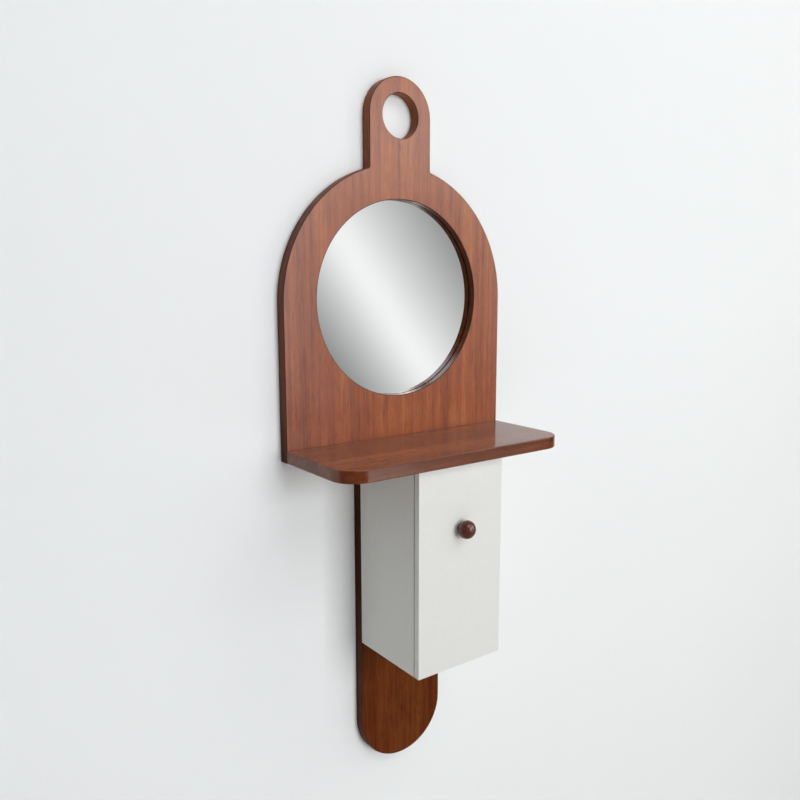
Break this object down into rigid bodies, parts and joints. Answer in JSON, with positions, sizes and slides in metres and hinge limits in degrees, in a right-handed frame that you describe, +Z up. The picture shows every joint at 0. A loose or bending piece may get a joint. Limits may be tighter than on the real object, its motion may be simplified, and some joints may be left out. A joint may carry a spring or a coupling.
{
  "type": "wall cabinet with mirror",
  "caption": "Tall shaped wooden wall board with a round mirror, a shelf below it, and a small pale cabinet with one hinged door under the shelf.",
  "frame": {"origin": "on the back plane that lies against the wall, midway between the two keyhole plates", "axes": "+Z up; the front of the cabinet faces -Y; +X to the right of someone who faces it"},
  "size_m": [0.4, 0.1876, 1.0673],
  "materials": {
    "walnut_veneer": "satin lacquer on reddish walnut, vertical grain on the board and grain along the shelf",
    "turned_walnut": "turned and polished dark walnut",
    "white_lacquer": "satin sprayed lacquer on fibreboard, warm white",
    "silvered_glass": "flat glass, silvered behind",
    "hardboard": "smooth brown hardboard",
    "beech": "fluted beech dowel, glued",
    "nickel_plate": "satin nickel plate",
    "zinc_plate": "bright zinc plate",
    "white_plastic": "moulded white plastic",
    "ferrite": "dull grey ceramic magnet"
  },
  "bodies": {
    "cabinet": {"back_board": "walnut_veneer", "mirror_glass": "silvered_glass", "mirror_backing": "hardboard", "mirror_clips": "nickel_plate", "mirror_clip_screws": "zinc_plate", "keyhole_plates": "nickel_plate", "keyhole_plate_screws": "zinc_plate", "shelf": "walnut_veneer", "shelf_screws": "zinc_plate", "shelf_dowels": "beech", "cabinet_left_side": "white_lacquer", "cabinet_right_side": "white_lacquer", "cabinet_top": "white_lacquer", "cabinet_bottom": "white_lacquer", "cabinet_back": "white_lacquer", "cabinet_dowels": "beech", "cabinet_top_screws": "zinc_plate", "cabinet_back_screws": "zinc_plate", "inner_shelf": "white_lacquer", "inner_shelf_pins": "zinc_plate", "upper_hinge_frame_leaf": "nickel_plate", "upper_hinge_pin": "zinc_plate", "lower_hinge_frame_leaf": "nickel_plate", "lower_hinge_pin": "zinc_plate", "hinge_frame_screws": "zinc_plate", "catch_housing": "white_plastic", "catch_magnet": "ferrite", "catch_poles": "nickel_plate", "catch_screws": "zinc_plate"},
    "door": {"door": "white_lacquer", "knob": "turned_walnut", "knob_screw": "zinc_plate", "upper_hinge_door_leaf": "nickel_plate", "lower_hinge_door_leaf": "nickel_plate", "hinge_door_screws": "zinc_plate", "strike_plate": "nickel_plate", "strike_screw": "zinc_plate"}
  },
  "joints": [
    {"name": "door_swing", "type": "hinge", "parent": "cabinet", "child": "door", "pos_m": [0.0794, -0.1528, -0.5695], "axis": [0, 0, 1], "range_deg": [0, 200]}
  ]
}
